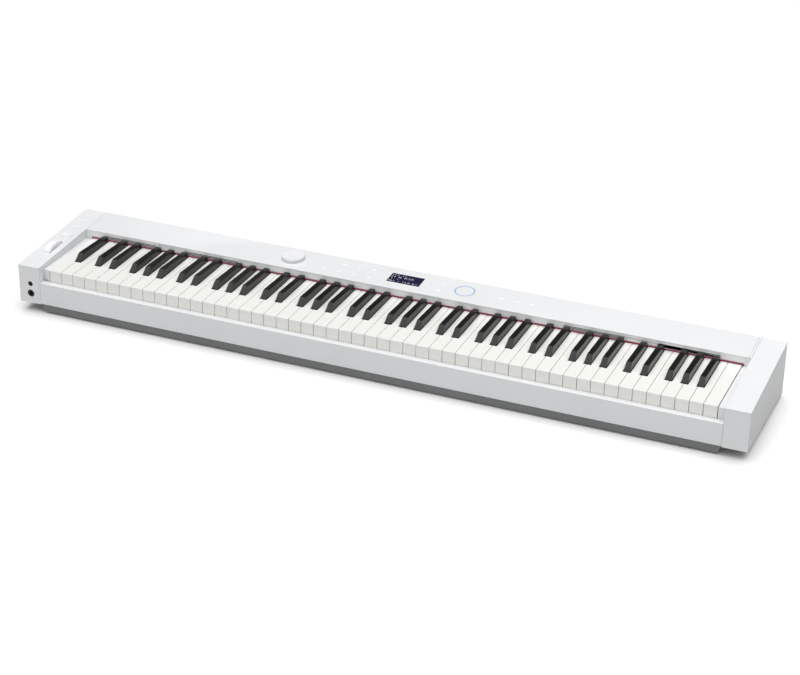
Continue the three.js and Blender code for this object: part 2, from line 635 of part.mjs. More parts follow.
const WHITE_PROFILE = [
  [KEY_FRONT_Y, KEY_TOP_Z - 1], [KEY_FRONT_Y + 0.8, KEY_TOP_Z],
  [KEY_REAR_Y, KEY_TOP_Z], [KEY_REAR_Y, WHITE_ROOT_Z],
  ...notch(WHITE_ROOT_Z), [KEY_ROOT_Y, WHITE_ROOT_Z], [KEY_ROOT_Y, KEY_BODY_Z],
  [KEY_FRONT_Y + KEY_LIP_THICK, KEY_BODY_Z], [KEY_FRONT_Y + KEY_LIP_THICK, KEY_LIP_Z],
  [KEY_FRONT_Y, KEY_LIP_Z],
];

const [blackBaseZ, blackShelfZ] = BLACK_BODY_ZS;
const BLACK_PROFILE = [
  [BLACK_FRONT_Y, blackBaseZ], [BLACK_FRONT_Y, KEY_TOP_Z], ...BLACK_SLOPE,
  [BLACK_CAP_REAR_Y, BLACK_CAP_REAR_Z], [BLACK_CAP_REAR_Y, blackShelfZ], [KEY_REAR_Y, blackShelfZ],
  [KEY_REAR_Y, BLACK_ROOT_Z], ...notch(BLACK_ROOT_Z), [KEY_ROOT_Y, BLACK_ROOT_Z], [KEY_ROOT_Y, blackBaseZ],
];

const BLACK_HALF_SECTION = [
  [BLACK_BODY_HALF, WHITE_ROOT_Z], [BLACK_BODY_HALF, KEY_TOP_Z - 0.6], [BLACK_BASE_HALF, KEY_TOP_Z],
  [BLACK_TOP_HALF, BLACK_TOP_Z + 0.1],
];
const BLACK_SECTION = [...BLACK_HALF_SECTION, ...BLACK_HALF_SECTION.map(([x, z]) => [-x, z]).reverse()];

// All 88 keys, from the lowest A up. A white key has a slot number; a black key sits over the boundary
// between two slots, moved by its offset.
function listKeys() {
  const keys = [];
  const letters = 'ABCDEFG';
  for (let slot = 0; slot < WHITE_COUNT; slot++) {
    const letter = letters[slot % 7];
    const octave = Math.floor((slot + 5) / 7);
    const left = -KEYS_HALF + slot * WHITE_PITCH;
    keys.push({ name: letter + octave, colour: 'white', left });
    if (letter in BLACK_OFFSET && slot < WHITE_COUNT - 1) {
      const centre = left + WHITE_PITCH + BLACK_OFFSET[letter];
      keys.push({ name: `${letter}_sharp_${octave}`, colour: 'black', centre });
    }
  }
  return keys;
}

const keys = listKeys();

function blackBeside(index) {
  const key = keys[index];
  return key && key.colour === 'black' ? key.centre : null;
}

function whiteKey(index) {
  const left = keys[index].left + KEY_GAP / 2;
  const right = left + WHITE_PITCH - KEY_GAP;
  const lower = blackBeside(index - 1);
  const upper = blackBeside(index + 1);
  const stemLeft = lower === null ? left : lower + CUT_OUT_HALF;
  const stemRight = upper === null ? right : upper - CUT_OUT_HALF;
  const plan = [[left, 0], [right, 0]];
  if (upper !== null) {
    plan.push([right, CUT_OUT_Y], [stemRight, CUT_OUT_Y]);
  }
  plan.push([stemRight, DEPTH], [stemLeft, DEPTH]);
  if (lower !== null) {
    plan.push([stemLeft, CUT_OUT_Y], [left, CUT_OUT_Y]);
  }
  return alongX(WHITE_PROFILE, left, right).intersect(alongZ(plan, 50, 90));
}

function blackKey(index) {
  const { centre } = keys[index];
  const section = alongY(BLACK_SECTION, 60, 230).translate([centre, 0, 0]);
  return alongX(BLACK_PROFILE, centre - 7, centre + 7).intersect(section);
}

// A comb joins its keys by a bar behind the pivot rail: below the keys for the whites, above for the blacks.
function whiteComb(indices) {
  const inset = 8;
  const first = keys[indices[0]].left + inset;
  const last = keys[indices.at(-1)].left + WHITE_PITCH - inset;
  const bar = box(first, last, COMB_BAR_Y, KEY_REAR_Y, WHITE_ROOT_Z - 6, WHITE_ROOT_Z + 0.8);
  return union([...indices.map(whiteKey), bar]);
}

function blackComb(indices) {
  const centres = indices.map((index) => keys[index].centre);
  const half = 4;
  const bar = box(centres[0] - half, centres.at(-1) + half, COMB_BAR_Y, KEY_REAR_Y, 84.5, 88);
  const posts = centres.map((x) => box(x - half, x + half, COMB_BAR_Y, KEY_REAR_Y, blackShelfZ - 2, 86));
  return union([...indices.map(blackKey), ...posts, bar]);
}

const firstHinged = keys.findIndex((key) => key.name === FIRST_HINGED);
const lastHinged = keys.findIndex((key) => key.name === LAST_HINGED);

function indicesOf(colour, from, to) {
  return keys.map((key, index) => index).filter(
    (index) => index >= from && index <= to && keys[index].colour === colour);
}

addPart('white_keys_bass', whiteComb(indicesOf('white', 0, firstHinged - 1)), LOOKS.whiteKey);
addPart('black_keys_bass', blackComb(indicesOf('black', 0, firstHinged - 1)), LOOKS.blackKey);
addPart('white_keys_treble', whiteComb(indicesOf('white', lastHinged + 1, keys.length)), LOOKS.whiteKey);
addPart('black_keys_treble', blackComb(indicesOf('black', lastHinged + 1, keys.length)), LOOKS.blackKey);

for (let index = firstHinged; index <= lastHinged; index++) {
  const white = keys[index].colour === 'white';
  const shape = white ? whiteKey(index) : blackKey(index);
  addPart(`key_${keys[index].name}`, shape, white ? LOOKS.whiteKey : LOOKS.blackKey);
}

piano.position.y = -DEPTH / 2;

export default piano;
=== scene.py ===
# A slim white digital piano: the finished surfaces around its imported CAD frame.
# Metres. X runs along the keyboard to the player's right, Y away from the player, Z up.
# Most covers are made from the CAD node's own shape, so they keep its size and place and gain rounded edges.

import json
import math
import random

import bmesh
import bpy
from mathutils import Matrix, Vector

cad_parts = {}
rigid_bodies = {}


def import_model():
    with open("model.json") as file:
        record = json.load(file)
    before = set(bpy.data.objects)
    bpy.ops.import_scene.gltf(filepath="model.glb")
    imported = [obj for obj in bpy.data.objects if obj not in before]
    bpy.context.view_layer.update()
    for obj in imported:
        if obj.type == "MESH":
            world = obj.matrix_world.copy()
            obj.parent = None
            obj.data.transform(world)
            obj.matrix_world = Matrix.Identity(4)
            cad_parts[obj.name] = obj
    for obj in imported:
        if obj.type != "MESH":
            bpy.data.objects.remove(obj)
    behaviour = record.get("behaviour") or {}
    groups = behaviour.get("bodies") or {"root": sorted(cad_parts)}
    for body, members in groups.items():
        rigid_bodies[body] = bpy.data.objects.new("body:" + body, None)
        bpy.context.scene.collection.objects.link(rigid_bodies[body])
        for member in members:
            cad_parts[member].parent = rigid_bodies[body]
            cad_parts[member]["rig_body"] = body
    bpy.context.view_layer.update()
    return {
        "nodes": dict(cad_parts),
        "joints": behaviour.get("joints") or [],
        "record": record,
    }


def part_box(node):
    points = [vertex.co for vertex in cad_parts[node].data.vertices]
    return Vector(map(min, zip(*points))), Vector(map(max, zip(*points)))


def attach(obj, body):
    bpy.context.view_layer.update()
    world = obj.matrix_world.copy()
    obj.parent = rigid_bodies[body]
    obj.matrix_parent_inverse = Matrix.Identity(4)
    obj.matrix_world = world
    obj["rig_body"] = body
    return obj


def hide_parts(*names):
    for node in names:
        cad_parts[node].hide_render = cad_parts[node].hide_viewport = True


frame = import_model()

MM = 0.001
MICRON = 0.000001

# ---- Camera and light ----

CAMERA_PLACE = (1.2355, -2.9709, 1.6646)
CAMERA_AZIMUTH = 22.228              # degrees, as the elevation and the roll are
CAMERA_ELEVATION = 26.983
CAMERA_ROLL = 0.939
CAMERA_LENS = 93.58                  # millimetres, as the sensor is
SENSOR_WIDTH = 36

# The corners of the card that the glossy panel mirrors, and its light at the bright end.
CARD = ((-1.58, 1.6, 1.195), (-1.02, 1.6, 1.046), (-1.02, 1.6, 0.93), (-1.58, 1.6, 0.93))
CARD_LIGHT = 1.1

# The light from the sky, by the direction it comes from: a cap overhead, a wall in front and a dim rest.
CAP_LIGHT = 2.6
CAP_FADE_Z = (0.66, 0.76)            # where the cap begins, and where it is full
WALL_LIGHT = 0.96
WALL_FADE_Y = (-0.45, 0.15)          # where the wall begins to fade towards the rear, and where it is gone
WALL_FADE_Z = (0.45, 0.65)           # the same, upwards
SKY_DIM = 0.06
BACKDROP_WHITE = 0.98                # what the camera sees in the sky's place

FLOOR_SIZE = 12
FLOOR_WHITE = 0.965                  # what the camera sees
FLOOR_BOUNCE = 0.5                   # what the floor gives back to the piano
FLOOR_DROP = 0.05 * MM

END_LIGHT_PLACE = (0.62, 0.25, 0.95)
END_LIGHT_AIM = (0.66, 0, 0.1)
END_LIGHT_SIZE = 0.4
END_LIGHT_POWER = 0.8

# ---- The deck: the sloping top that carries the controls ----

JOINTS = {joint["name"]: joint for joint in frame["joints"]}
DECK_POINT = Vector(JOINTS["volume_knob_turn"]["pos_m"])
DECK_NORMAL = Vector(JOINTS["volume_knob_turn"]["axis"])
DECK_TILT = math.atan2(-DECK_NORMAL.y, DECK_NORMAL.z)

KNOB_RADIUS = 20.5 * MM
KNOB_BASE = 0.6 * MM                 # the gap under the knob's skirt
KNOB_HEIGHT = 6.78 * MM
BUTTON_RADIUS = 6.5 * MM
BUTTON_PROUD = 0.7 * MM
BUTTON_SIDE = 3.4 * MM               # how far a button's plain side reaches below the deck
BUTTON_DEPTH = 4.5 * MM              # how far its flange reaches
WIDE_BUTTON = (17 * MM, 13 * MM)
WHEEL_RADIUS = 28 * MM
WHEEL_WIDTH = 12 * MM
WHEEL_BORE = 3.3 * MM
WHEEL_SLOT_WIDTH = 14 * MM

LID_SEAM_X = 624.7 * MM

# Touch marks printed on the top panel, in millimetres: each row's Y and its X positions.
TOUCH_ROWS = (
    (97.0, (-126.0, -98.0, -70.0, 63.5)),
    (69.0, (-154.5, -126.5, -98.0, -68.0, 63.5)),
    (83.0, (176.5, 204.0, 231.5)),
)
TOUCH_MARK = (10.5 * MM, 2.6 * MM)

# Rows of glyphs on the display, in millimetres: height above the middle, glyph height, first and last X.
GLYPH_ROWS = (
    (10.6, 2.6, -27.5, -4),
    (4.2, 5.0, -27.5, 12),
    (-3.6, 2.4, -27.5, -12),
    (-10.8, 3.2, -27.5, 26),
)
GLYPH_STROKE = 0.42
GLYPH_WIDTHS = (0.35, 0.55)          # the narrowest and the widest, as shares of the height
GLYPH_GAPS = (0.9, 1.0, 3.0)
GLYPH_SHARE = 0.84                   # how many of the places in a row hold a glyph


def centre_of(node):
    low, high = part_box(node)
    return (low + high) / 2


def deck_frame(x, y):
    """The matrix of a frame on the deck at (x, y), with its Z axis square to the surface."""
    z = DECK_POINT.z + (y - DECK_POINT.y) * math.tan(DECK_TILT)
    return Matrix.Translation((x, y, z)) @ Matrix.Rotation(DECK_TILT, 4, "X")


def deck_frame_of(node):
    """The deck frame under the middle of a CAD node that lies square to the deck."""
    centre = centre_of(node)
    foot = centre - DECK_NORMAL * (centre - DECK_POINT).dot(DECK_NORMAL)
    return deck_frame(foot.x, foot.y)


# ---- Materials ----

# How fine the layers of noise in moulded plastic are, and how deep its faint waviness is.
CLOUD_SCALE = 9
GLOSS_SCALE = 140
WAVINESS_SCALE = 38
WAVINESS_DEPTH = 4 * MICRON


def empty_tree(owner):
    """Clears the shader nodes of a material or world, and gives its nodes and links."""
    owner.use_nodes = True
    owner.node_tree.nodes.clear()
    return owner.node_tree.nodes, owner.node_tree.links


class Finish:
    """A Principled material whose colour, roughness and relief all come from noise in object space."""

    def __init__(self, name, roughness, **settings):
        self.material = bpy.data.materials.new(name)
        self.nodes, self.links = empty_tree(self.material)
        self.shader = self.nodes.new("ShaderNodeBsdfPrincipled")
        output = self.nodes.new("ShaderNodeOutputMaterial")
        self.links.new(self.shader.outputs["BSDF"], output.inputs["Surface"])
        self.place = self.nodes.new("ShaderNodeTexCoord").outputs["Object"]
        self.height = None
        self.shader.inputs["Roughness"].default_value = roughness
        for socket, value in settings.items():
            self.shader.inputs[socket.replace("_", " ")].default_value = value

    def noise(self, scale, detail=2.0, stretch=(1, 1, 1)):
        """Noise in object space, finer along an axis that is stretched more."""
        mapping = self.nodes.new("ShaderNodeMapping")
        mapping.inputs["Scale"].default_value = stretch
        self.links.new(self.place, mapping.inputs["Vector"])
        noise = self.nodes.new("ShaderNodeTexNoise")
        noise.inputs["Scale"].default_value = scale
        noise.inputs["Detail"].default_value = detail
        self.links.new(mapping.outputs["Vector"], noise.inputs["Vector"])
        return noise.outputs["Fac"]

    def between(self, factor, low, high):
        """Maps noise, which stays near a half, to the range low..high."""
        spread = self.nodes.new("ShaderNodeMapRange")
        spread.inputs["From Min"].default_value = 0.3
        spread.inputs["From Max"].default_value = 0.7
        spread.inputs["To Min"].default_value = low
        spread.inputs["To Max"].default_value = high
        self.links.new(factor, spread.inputs["Value"])
        return spread.outputs["Result"]

    def colour(self, factor, first, second):
        """Lets the base colour wander between two tones."""
        mix = self.nodes.new("ShaderNodeMix")
        mix.data_type = "RGBA"
        mix.inputs["A"].default_value = (*first, 1)
        mix.inputs["B"].default_value = (*second, 1)
        self.links.new(self.between(factor, 0, 1), mix.inputs["Factor"])
        self.links.new(mix.outputs["Result"], self.shader.inputs["Base Color"])

    def roughness(self, factor, low, high):
        self.links.new(self.between(factor, low, high), self.shader.inputs["Roughness"])

    def relief(self, factor, depth):
        """Adds a bump of this depth in metres over any bump that the material has already."""
        bump = self.nodes.new("ShaderNodeBump")
        bump.inputs["Strength"].default_value = 1
        bump.inputs["Distance"].default_value = depth
        self.links.new(factor, bump.inputs["Height"])
        if self.height is not None:
            self.links.new(self.height, bump.inputs["Normal"])
        self.height = bump.outputs["Normal"]
        self.links.new(self.height, self.shader.inputs["Normal"])


def plastic(name, tone, roughness, shift=0.012, grain=0.0, grain_scale=2600, **settings):
    """Moulded plastic: a faint cloudy tone, uneven gloss, and a fine moulded grain of the given depth."""
    finish = Finish(name, roughness, **settings)
    lighter = [min(1, value * (1 + shift)) for value in tone]
    darker = [value * (1 - shift) for value in tone]
    finish.colour(finish.noise(CLOUD_SCALE), darker, lighter)
    finish.roughness(finish.noise(GLOSS_SCALE, 3), roughness * 0.85, roughness * 1.15)
    finish.relief(finish.noise(WAVINESS_SCALE, 1), WAVINESS_DEPTH)
    if grain:
        finish.relief(finish.noise(grain_scale, 2), grain)
    return finish.material


def key_plastic(name, tone, roughness, streak_depth, **settings):
    """Key tops: streaks along the key in colour and in relief, as pressed into ivory- and ebony-like tops."""
    finish = Finish(name, roughness, **settings)
    streaks = finish.noise(1, 3, stretch=(1500, 34, 1500))
    finish.colour(streaks, [value * 0.99 for value in tone], [min(1, value * 1.01) for value in tone])
    finish.roughness(streaks, roughness * 0.92, roughness * 1.1)
    finish.relief(streaks, streak_depth)
    finish.relief(finish.noise(5200, 2), streak_depth / 3)
    return finish.material


def felt_material():
    """Crimson felt with short fibres that lie along the strip."""
    finish = Finish("crimson_felt", 0.95, Sheen_Weight=0.5, Sheen_Roughness=0.5)
    fibres = finish.noise(1, 4, stretch=(900, 3800, 3800))
    finish.colour(fibres, (0.20, 0.005, 0.036), (0.36, 0.014, 0.068))
    finish.roughness(fibres, 0.85, 1.0)
    finish.relief(fibres, 0.25 * MM)
    return finish.material


def cloth_material():
    """Open acoustic cloth: a weave of crossed bands about a millimetre apart."""
    finish = Finish("acoustic_cloth", 0.9, Sheen_Weight=0.3)
    bands = []
    for direction in ("X", "Z"):
        wave = finish.nodes.new("ShaderNodeTexWave")
        wave.bands_direction = direction
        wave.inputs["Scale"].default_value = 300
        finish.links.new(finish.place, wave.inputs["Vector"])
        bands.append(wave.outputs["Fac"])
    weave = finish.nodes.new("ShaderNodeMath")
    weave.operation = "MULTIPLY"
    finish.links.new(bands[0], weave.inputs[0])
    finish.links.new(bands[1], weave.inputs[1])
    finish.colour(weave.outputs["Value"], (0.006, 0.006, 0.007), (0.03, 0.03, 0.032))
    finish.roughness(weave.outputs["Value"], 0.8, 1.0)
    finish.relief(weave.outputs["Value"], 0.2 * MM)
    return finish.material


def steel_material():
    """Drawn steel, streaked along X."""
    finish = Finish("drawn_steel", 0.3, Metallic=1.0, Anisotropic=0.5)
    drawn = finish.noise(1, 3, stretch=(60, 4200, 4200))
    finish.colour(drawn, (0.42, 0.43, 0.44), (0.60, 0.61, 0.62))
    finish.roughness(drawn, 0.22, 0.42)
    finish.relief(drawn, 10 * MICRON)
    return finish.material


def glow_material(name, tone, strength):
    """A finish that gives off a little light of its own tone."""
    finish = Finish(name, 0.3, Emission_Color=(*tone, 1), Emission_Strength=strength)
    finish.colour(finish.noise(60), [value * 0.92 for value in tone], tone)
    finish.roughness(finish.noise(300), 0.24, 0.34)
    return finish.material


WHITE = (0.775, 0.785, 0.795)
FINISHES = {
    "casing_white": plastic("satin_white_casing", WHITE, 0.34, grain=4 * MICRON),
    "panel_gloss": plastic("gloss_white_panel", WHITE, 0.05),
    "base_grey": plastic("grained_grey_base", (0.205, 0.21, 0.214), 0.62, 0.05, 40 * MICRON, 1500),
    # The fallboard's tone is lighter than the casing's white: painted light that lifts the shade the
    # fallboard lies in.
    "fallboard_grey": plastic("satin_fallboard_painted_light", (0.84, 0.85, 0.86), 0.45),
    "speaker_cloth": cloth_material(),
    "felt_crimson": felt_material(),
    "frame_grey": plastic("moulded_chassis", (0.46, 0.47, 0.48), 0.5, 0.03, 20 * MICRON),
    "steel": steel_material(),
    "speaker_black": plastic("speaker_basket", (0.022, 0.022, 0.024), 0.5, 0.1, 20 * MICRON),
    "board_green": plastic("solder_resist", (0.016, 0.10, 0.045), 0.35, 0.15, 10 * MICRON),
    "display_dark": plastic("display_glass", (0.016, 0.014, 0.048), 0.08, 0.06),
    "ring_blue": glow_material("light_ring", (0.13, 0.37, 0.80), 0.06),
    "socket_black": plastic("socket_plastic", (0.012, 0.012, 0.014), 0.42, 0.1, 8 * MICRON),
    "foot_rubber": plastic("foot_rubber", (0.05, 0.05, 0.052), 0.85, 0.08, 40 * MICRON, 1800),
    "control_white": plastic("control_plastic", (0.785, 0.79, 0.80), 0.32, grain=3 * MICRON),
    "key_white": key_plastic("white_key_plastic", (0.835, 0.83, 0.797), 0.3, 4 * MICRON),
    "key_black": key_plastic(
        "black_key_plastic", (0.010, 0.010, 0.0097), 0.2, 2 * MICRON, Specular_IOR_Level=0.36),
}
# The buttons' white is lighter than the knob's: a painted highlight that stands in for the glint on their
# rims.
BUTTON_HIGHLIGHT_FINISH = plastic("button_plastic_painted_highlight", (0.88, 0.885, 0.895), 0.3)
# The wheel's lighter tone and faint emission are painted light that lifts its shaded side; the wheel is no
# lamp.
WHEEL_GLOW_FINISH = plastic(
    "wheel_plastic_painted_glow", (0.88, 0.88, 0.91), 0.28, Emission_Color=(0.93, 0.92, 1, 1), Emission_Strength=0.05)
# The rims' white is lighter than the casing's: a painted highlight that stands in for the glint on their
# rounded edges.
RIM_HIGHLIGHT_FINISH = plastic("socket_rim", (0.86, 0.865, 0.87), 0.2)
GLYPH_FINISH = glow_material("display_glyphs", (0.86, 0.85, 0.95), 0.45)
MARK_FINISH = glow_material("touch_marks", (0.95, 0.96, 0.97), 0.18)
ICON_FINISH = plastic("printed_icons", (0.20, 0.21, 0.23), 0.5)
SEAM_FINISH = plastic("joint_line", (0.22, 0.225, 0.23), 0.6)

# ---- Mesh helpers ----


def new_object(name, bm, material):
    """A smooth-shaded object from a finished mesh, with its faces turned outwards."""
    mesh = bpy.data.meshes.new(name)
    bmesh.ops.recalc_face_normals(bm, faces=bm.faces)
    bm.to_mesh(mesh)
    bm.free()
    mesh.materials.append(material)
    mesh.shade_smooth()
    obj = bpy.data.objects.new(name, mesh)
    bpy.context.scene.collection.objects.link(obj)
    return obj


def soften(obj, width, segments=3, angle=30):
    """Rounds every edge sharper than angle, and keeps the flat faces flat in shading."""
    bevel = obj.modifiers.new("rounded_edges", "BEVEL")
    bevel.width = width
    bevel.segments = segments
    bevel.limit_method = "ANGLE"
    bevel.angle_limit = math.radians(angle)
    bevel.use_clamp_overlap = False
    bevel.miter_outer = "MITER_ARC"
    normals = obj.modifiers.new("flat_faces", "WEIGHTED_NORMAL")
    normals.weight = 100
    normals.keep_sharp = False
    return obj


def settle(obj, slot, body, *nodes):
    """Rides the piece on its body, and lets it stand for CAD nodes by hiding them. The slot is not used."""
    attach(obj, body)
    if nodes:
        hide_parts(*nodes)
    return obj


def slot_of(node):
    for part in frame["record"]["subparts"]:
        if part["node"] == node:
            return part["material_slot"]
    raise KeyError(node)


def clean_copy(node):
    """A CAD node's shape with its flat faces made whole again."""
    bm = bmesh.new()
    bm.from_mesh(frame["nodes"][node].data)
    bmesh.ops.remove_doubles(bm, verts=bm.verts, dist=2 * MICRON)
    bmesh.ops.dissolve_limit(
        bm, angle_limit=math.radians(0.8), use_dissolve_boundaries=False, verts=bm.verts, edges=bm.edges
    )
    return bm


def cover(node, bevel, segments=3, shape=None):
    """A rounded piece made from a CAD node's shape, which stands for that node."""
    bm = clean_copy(node)
    if shape is not None:
        shape(bm)
    slot = slot_of(node)
    obj = soften(new_object(node + "_cover", bm, FINISHES[slot]), bevel, segments)
    return settle(obj, slot, frame["nodes"][node]["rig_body"], node)


def add_ring(bm, points):
    return [bm.verts.new(point) for point in points]


def join_rings(bm, first, second):
    """Quads between two rings of one length, or a fan where one of them is a single point."""
    count = max(len(first), len(second))
    for index in range(count):
        after = (index + 1) % count
        corners = [
            first[index % len(first)], first[after % len(first)],
            second[after % len(second)], second[index % len(second)],
        ]
        unique = list(dict.fromkeys(corners))
        if len(unique) > 2:
            bm.faces.new(unique)


def add_lathe(bm, profile, matrix, segments=64, wobble=None):
    """Turns (radius, height) points about the matrix's Z axis. A point on the axis closes the shape."""
    rings = []
    for radius, height in profile:
        if radius < 1e-9:
            rings.append(add_ring(bm, [matrix @ Vector((0, 0, height))]))
            continue
        points = []
        for index in range(segments):
            turn = 2 * math.pi * index / segments
            reach = radius - (wobble(turn, radius) if wobble else 0)
            points.append(matrix @ Vector((reach * math.cos(turn), reach * math.sin(turn), height)))
        rings.append(add_ring(bm, points))
    for first, second in zip(rings, rings[1:]):
        join_rings(bm, first, second)
    if len(rings[0]) > 1 and len(rings[-1]) > 1:
        join_rings(bm, rings[-1], rings[0])


def add_slab(bm, outline, low, high, matrix):
    """A flat piece with this outline of (x, y) points between two heights of the matrix's frame."""
    lower = add_ring(bm, [matrix @ Vector((x, y, low)) for x, y in outline])
    upper = add_ring(bm, [matrix @ Vector((x, y, high)) for x, y in outline])
    join_rings(bm, lower, upper)
    bm.faces.new(lower[::-1])
    bm.faces.new(upper)


def rounded_outline(width, depth, radius, steps=6, centre=(0, 0)):
    """The outline of a rectangle with round corners."""
    points = []
    for corner, (sx, sy) in enumerate(((1, 1), (-1, 1), (-1, -1), (1, -1))):
        for step in range(steps + 1):
            turn = math.pi / 2 * (corner + step / steps)
            points.append((
                centre[0] + sx * (width / 2 - radius) + radius * math.cos(turn),
                centre[1] + sy * (depth / 2 - radius) + radius * math.sin(turn),
            ))
    return points


def arc_band(radius, width, start, end, steps=24):
    """The outline of a band along an arc, from start to end in degrees."""
    turns = [math.radians(start + (end - start) * step / steps) for step in range(steps + 1)]
    outer = [((radius + width / 2) * math.cos(t), (radius + width / 2) * math.sin(t)) for t in turns]
    inner = [((radius - width / 2) * math.cos(t), (radius - width / 2) * math.sin(t)) for t in turns]
    return outer + inner[::-1]


# ---- Casing ----


def finish_fallboard(bm):
    """Raises the top so that only a hairline is left under the panel, and paints the slots' walls black as
    painted shade.
    """
    top = max(vert.co.z for vert in bm.verts)
    rise = 0.25 * MM
    for vert in bm.verts:
        if vert.co.z > top - 0.01 * MM:
            vert.co.z += rise
    # The slots lie between these heights, and within this reach of the middle.
    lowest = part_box("speaker_cloth_left")[0].z + 2.5 * MM
    highest = top - 3 * MM
    reach = 0.6
    for face in bm.faces:
        centre = face.calc_center_median()
        among_slots = lowest < centre.z < highest and abs(centre.x) < reach
        if among_slots and abs(face.normal.y) < 0.5:
            # Painted shade: the slots' walls take the black speaker finish, so the slots read dark.
            face.material_index = 1


def make_casing():
    """The casing's mouldings, each with its own rounding, and the feet."""
    for node in ("left_end_block", "right_end_block"):
        cover(node, 0.5 * MM)
    cover("key_slip", 0.35 * MM)
    cover("bottom_case", 0.6 * MM)
    cover("top_panel", 0.25 * MM)
    fallboard = cover("fallboard", 0.12 * MM, 2, finish_fallboard)
    # The second finish, black, paints shade onto the slots' walls.
    fallboard.data.materials.append(FINISHES["speaker_black"])
    cover("rear_panel", 0.4 * MM)
    for side in ("left", "right"):
        cover(f"{side}_key_cheek", 0.4 * MM)
        for end in ("front", "rear"):
            make_foot(f"foot_{end}_{side}")


def make_lid_seams():
    """The fine joint line between each end block's lid and the lip beside the top panel."""
    panel_low, panel_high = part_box("top_panel")
    middle = (panel_low.y + panel_high.y) / 2
    length = panel_high.y - panel_low.y - 1 * MM
    width = 0.55 * MM
    corner = 0.2 * MM
    depth = 0.5 * MM
    proud = 0.012 * MM
    bm = bmesh.new()
    for side in (-1, 1):
        outline = rounded_outline(width, length, corner, 2)
        add_slab(bm, outline, -depth, proud, deck_frame(side * LID_SEAM_X, middle))
    settle(new_object("lid_seams", bm, SEAM_FINISH), "casing_white", "root")


def make_foot(node):
    """A rubber foot: a soft-edged disc with two shallow rings pressed into its face."""
    low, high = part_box(node)
    radius = (high.x - low.x) / 2
    top = high.z - low.z
    groove = 0.35 * MM
    profile = [(0, 0)]
    for share in (0.35, 0.7):
        middle = radius * share
        profile += [
            (middle - 0.8 * MM, 0), (middle - 0.5 * MM, groove),
            (middle + 0.5 * MM, groove), (middle + 0.8 * MM, 0),
        ]
    profile += [
        (radius - 1.9 * MM, 0), (radius - 1.3 * MM, 0.25 * MM),
        (radius - 0.3 * MM, top - 0.4 * MM), (radius, top), (0, top),
    ]
    bm = bmesh.new()
    centre = (low + high) / 2
    add_lathe(bm, profile, Matrix.Translation((centre.x, centre.y, low.z)), 48)
    obj = soften(new_object(node + "_pad", bm, FINISHES["foot_rubber"]), 0.15 * MM, 2, 35)
    settle(obj, "foot_rubber", "root", node)


def make_screws():
    """Cross-head screws that hold the base, with their heads just under the floor of the tray."""
    low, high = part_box("bottom_case")
    columns = 8
    span = 1.16
    inset = 14 * MM
    radius = 4 * MM
    proud = 1.3 * MM
    recess = 0.9 * MM
    recess_radius = 1.9 * MM

    def cross(turn, at):
        return recess * math.sin(2 * turn) ** 2 if at < recess_radius else 0

    profile = [
        (0, proud - recess), (1.1 * MM, proud - recess), (1.8 * MM, proud - 0.1 * MM),
        (2.2 * MM, proud), (radius * 0.8, proud - 0.25 * MM), (radius, 0.3 * MM),
        (radius, -0.2 * MM), (0, -0.2 * MM),
    ]
    bm = bmesh.new()
    for column in range(columns):
        x = (column / (columns - 1) - 0.5) * span
        for y in (low.y + inset, high.y - inset):
            place = Matrix.Translation((x, y, low.z)) @ Matrix.Rotation(math.pi, 4, "X")
            add_lathe(bm, profile, place, 24, cross)
    settle(new_object("base_screws", bm, FINISHES["steel"]), "steel", "root")


def make_felt():
    """The felt strip at the foot of the fallboard: a soft round-edged bar with a slightly uneven nap."""
    low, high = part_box("key_felt_strip")
    rng = random.Random(4)
    centre = (low + high) / 2
    half_depth = (high.y - low.y) / 2
    half_height = (high.z - low.z) / 2
    sides = 14
    steps = 420
    unevenness = 0.10
    squareness = 0.45                # the power that brings the oval nearer to its box than an ellipse
    bm = bmesh.new()
    rings = []
    for step in range(steps + 1):
        x = low.x + (high.x - low.x) * step / steps
        points = []
        for side in range(sides):
            turn = 2 * math.pi * side / sides
            nap = 1 - unevenness * rng.random()
            y = half_depth * nap * math.copysign(abs(math.cos(turn)) ** squareness, math.cos(turn))
            z = half_height * nap * math.copysign(abs(math.sin(turn)) ** squareness, math.sin(turn))
            points.append((x, centre.y + y, centre.z + z))
        rings.append(add_ring(bm, points))
    for first, second in zip(rings, rings[1:]):
        join_rings(bm, first, second)
    bm.faces.new(rings[0][::-1])
    bm.faces.new(rings[-1])
    obj = new_object("felt_strip", bm, FINISHES["felt_crimson"])
    settle(obj, "felt_crimson", "root", "key_felt_strip")


def make_cloth(side):
    """Acoustic cloth stretched behind the sound slots, with a slight belly that comes and goes along it."""
    node = f"speaker_cloth_{side}"
    low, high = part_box(node)
    columns = 120
    rows = 6
    setback = 0.35 * MM
    deepest = 0.25 * MM
    waves = 9
    bm = bmesh.new()
    grid = []
    for row in range(rows + 1):
        line = []
        for column in range(columns + 1):
            u = column / columns
            v = row / rows
            belly = deepest * math.sin(math.pi * v) * (0.6 + 0.4 * math.sin(waves * math.pi * u))
            line.append(bm.verts.new((
                low.x + (high.x - low.x) * u,
                low.y + setback - belly,
                low.z + (high.z - low.z) * v,
            )))
        grid.append(line)
    for lower, upper in zip(grid, grid[1:]):
        for column in range(columns):
            bm.faces.new((lower[column], lower[column + 1], upper[column + 1], upper[column]))
    obj = new_object(f"cloth_{side}", bm, FINISHES["speaker_cloth"])
    thickness = obj.modifiers.new("thickness", "SOLIDIFY")
    thickness.thickness = 0.4 * MM
    thickness.offset = 0
    settle(obj, "speaker_cloth", "root", node)


# ---- Top panel controls ----


